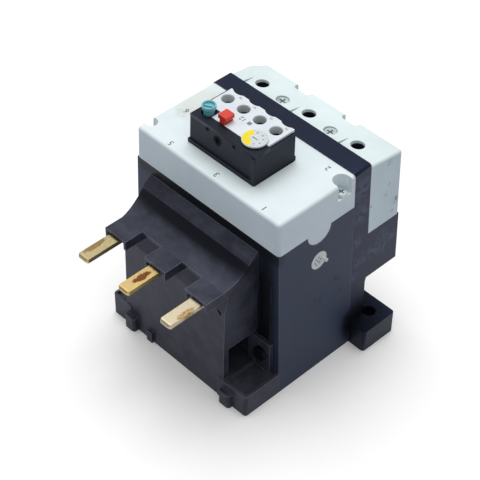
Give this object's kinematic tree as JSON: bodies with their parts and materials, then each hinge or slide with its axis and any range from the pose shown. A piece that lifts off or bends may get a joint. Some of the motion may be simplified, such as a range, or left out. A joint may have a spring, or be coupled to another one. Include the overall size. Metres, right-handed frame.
{
  "type": "thermal overload relay",
  "caption": "Three-pole thermal overload relay with a contactor adapter, load terminals, reset and test buttons and a setting dial.",
  "frame": {"origin": "on the mounting face, on the middle pole's axis in line with the heaters", "axes": "+X along the poles, -Y towards the contactor tangs, +Z out of the front face"},
  "size_m": [0.1164, 0.127, 0.1225],
  "materials": {
    "black_housing": "satin",
    "pale_cover": "satin",
    "pale_shroud": "satin",
    "white_plate": "satin",
    "blue_button": "gloss",
    "red_button": "gloss",
    "dial_plastic": "satin",
    "moving_plastic": "matt",
    "plated_copper": "satin",
    "steel": "satin",
    "bimetal": "satin",
    "heater_ribbon": "satin",
    "spring_steel": "satin",
    "pale_plug": "satin"
  },
  "bodies": {
    "relay": {"lower_housing": "black_housing", "front_cover": "pale_cover", "terminal_housing": "black_housing", "terminal_shroud": "pale_shroud", "contactor_adapter": "black_housing", "module_case": "black_housing", "module_floor": "black_housing", "label_plate": "white_plate", "line_tang_1": "plated_copper", "bimetal_strip_1": "bimetal", "heater_winding_1": "heater_ribbon", "load_bar_1": "plated_copper", "line_tang_2": "plated_copper", "bimetal_strip_2": "bimetal", "heater_winding_2": "heater_ribbon", "load_bar_2": "plated_copper", "line_tang_3": "plated_copper", "bimetal_strip_3": "bimetal", "heater_winding_3": "heater_ribbon", "load_bar_3": "plated_copper", "aux_terminal_1": "plated_copper", "aux_terminal_2": "plated_copper", "aux_terminal_3": "plated_copper", "aux_terminal_4": "plated_copper", "reset_spring": "spring_steel", "test_spring": "spring_steel", "lever_pin": "steel", "compensation_strip": "bimetal", "side_plug": "pale_plug", "cover_screws": "steel", "shroud_screws": "steel", "adapter_screws": "steel"},
    "terminal_clamp_body_1": {"terminal_clamp_1": "steel"},
    "terminal_screw_body_1": {"terminal_screw_1": "steel"},
    "terminal_clamp_body_2": {"terminal_clamp_2": "steel"},
    "terminal_screw_body_2": {"terminal_screw_2": "steel"},
    "terminal_clamp_body_3": {"terminal_clamp_3": "steel"},
    "terminal_screw_body_3": {"terminal_screw_3": "steel"},
    "aux_clamp_body_1": {"aux_clamp_1": "steel"},
    "aux_screw_body_1": {"aux_screw_1": "steel"},
    "aux_clamp_body_2": {"aux_clamp_2": "steel"},
    "aux_screw_body_2": {"aux_screw_2": "steel"},
    "aux_clamp_body_3": {"aux_clamp_3": "steel"},
    "aux_screw_body_3": {"aux_screw_3": "steel"},
    "aux_clamp_body_4": {"aux_clamp_4": "steel"},
    "aux_screw_body_4": {"aux_screw_4": "steel"},
    "reset_plunger_body": {"reset_plunger": "moving_plastic"},
    "reset_knob_body": {"reset_knob": "blue_button"},
    "test_button_body": {"test_button": "red_button"},
    "dial_body": {"setting_dial": "dial_plastic", "dial_spindle": "moving_plastic"},
    "differential_body": {"differential_slide": "moving_plastic"},
    "trip_body": {"trip_slide": "moving_plastic"},
    "lever_body": {"trip_lever": "moving_plastic"},
    "carrier_body": {"contact_carrier": "moving_plastic", "contact_bridges": "plated_copper"}
  },
  "joints": [
    {"name": "reset_press", "type": "slide", "parent": "relay", "child": "reset_plunger_body", "axis": [0, 0, -1], "range_m": [0, 0.0025], "stiffness_N_per_m": 400, "springref_m": -0.001, "deforming": ["reset_spring"]},
    {"name": "reset_turn", "type": "hinge", "parent": "reset_plunger_body", "child": "reset_knob_body", "pos_m": [-0.016, -0.005, 0.12], "axis": [0, 0, 1], "range_deg": [0, 90]},
    {"name": "test_press", "type": "slide", "parent": "relay", "child": "test_button_body", "axis": [0, 0, -1], "range_m": [0, 0.0018], "stiffness_N_per_m": 400, "springref_m": -0.001, "deforming": ["test_spring"]},
    {"name": "dial_turn", "type": "hinge", "parent": "relay", "child": "dial_body", "pos_m": [0.0116, -0.004, 0.119], "axis": [0, 0, -1], "range_deg": [0, 270]},
    {"name": "trip_travel", "type": "slide", "parent": "relay", "child": "trip_body", "axis": [1, 0, 0], "range_m": [0, 0.0025]},
    {"name": "differential_travel", "type": "slide", "parent": "relay", "child": "differential_body", "axis": [1, 0, 0], "range_m": [0, 0.0025]},
    {"name": "lever_turn", "type": "hinge", "parent": "relay", "child": "lever_body", "pos_m": [-0.012, 0, 0.0905], "axis": [0, -1, 0], "range_deg": [0, 10.9]},
    {"name": "carrier_lift", "type": "slide", "parent": "relay", "child": "carrier_body", "axis": [0, 0, 1], "range_m": [0, 0.002]},
    {"name": "terminal_clamp_rise_1", "type": "slide", "parent": "relay", "child": "terminal_clamp_body_1", "axis": [0, 0, 1], "range_m": [0, 0.006]},
    {"name": "terminal_screw_turn_1", "type": "hinge", "parent": "relay", "child": "terminal_screw_body_1", "pos_m": [0.0302, 0.0419, 0.07], "axis": [0, 0, -1], "range_deg": [0, 2161]},
    {"name": "terminal_clamp_rise_2", "type": "slide", "parent": "relay", "child": "terminal_clamp_body_2", "axis": [0, 0, 1], "range_m": [0, 0.006]},
    {"name": "terminal_screw_turn_2", "type": "hinge", "parent": "relay", "child": "terminal_screw_body_2", "pos_m": [0, 0.0419, 0.07], "axis": [0, 0, -1], "range_deg": [0, 2161]},
    {"name": "terminal_clamp_rise_3", "type": "slide", "parent": "relay", "child": "terminal_clamp_body_3", "axis": [0, 0, 1], "range_m": [0, 0.006]},
    {"name": "terminal_screw_turn_3", "type": "hinge", "parent": "relay", "child": "terminal_screw_body_3", "pos_m": [-0.0302, 0.0419, 0.07], "axis": [0, 0, -1], "range_deg": [0, 2161]},
    {"name": "aux_clamp_sink_1", "type": "slide", "parent": "relay", "child": "aux_clamp_body_1", "axis": [0, 0, -1], "range_m": [0, 0.0012]},
    {"name": "aux_screw_turn_1", "type": "hinge", "parent": "aux_clamp_body_1", "child": "aux_screw_body_1", "pos_m": [-0.01701, 0.00725, 0.115], "axis": [0, 0, -1], "range_deg": [0, 721]},
    {"name": "aux_clamp_sink_2", "type": "slide", "parent": "relay", "child": "aux_clamp_body_2", "axis": [0, 0, -1], "range_m": [0, 0.0012]},
    {"name": "aux_screw_turn_2", "type": "hinge", "parent": "aux_clamp_body_2", "child": "aux_screw_body_2", "pos_m": [-0.00695, 0.00725, 0.115], "axis": [0, 0, -1], "range_deg": [0, 721]},
    {"name": "aux_clamp_sink_3", "type": "slide", "parent": "relay", "child": "aux_clamp_body_3", "axis": [0, 0, -1], "range_m": [0, 0.0012]},
    {"name": "aux_screw_turn_3", "type": "hinge", "parent": "aux_clamp_body_3", "child": "aux_screw_body_3", "pos_m": [0.00311, 0.00725, 0.115], "axis": [0, 0, -1], "range_deg": [0, 721]},
    {"name": "aux_clamp_sink_4", "type": "slide", "parent": "relay", "child": "aux_clamp_body_4", "axis": [0, 0, -1], "range_m": [0, 0.0012]},
    {"name": "aux_screw_turn_4", "type": "hinge", "parent": "aux_clamp_body_4", "child": "aux_screw_body_4", "pos_m": [0.01317, 0.00725, 0.115], "axis": [0, 0, -1], "range_deg": [0, 721]}
  ],
  "couplings": [
    {"joint": "differential_travel", "follows": "trip_travel", "ratio": 1},
    {"joint": "lever_turn", "follows": "trip_travel", "rad_per_m": 76},
    {"joint": "carrier_lift", "follows": "trip_travel", "ratio": 0.8},
    {"joint": "terminal_screw_turn_1", "follows": "terminal_clamp_rise_1", "rad_per_m": 6283.2},
    {"joint": "terminal_screw_turn_2", "follows": "terminal_clamp_rise_2", "rad_per_m": 6283.2},
    {"joint": "terminal_screw_turn_3", "follows": "terminal_clamp_rise_3", "rad_per_m": 6283.2},
    {"joint": "aux_screw_turn_1", "follows": "aux_clamp_sink_1", "rad_per_m": 10472},
    {"joint": "aux_screw_turn_2", "follows": "aux_clamp_sink_2", "rad_per_m": 10472},
    {"joint": "aux_screw_turn_3", "follows": "aux_clamp_sink_3", "rad_per_m": 10472},
    {"joint": "aux_screw_turn_4", "follows": "aux_clamp_sink_4", "rad_per_m": 10472}
  ]
}
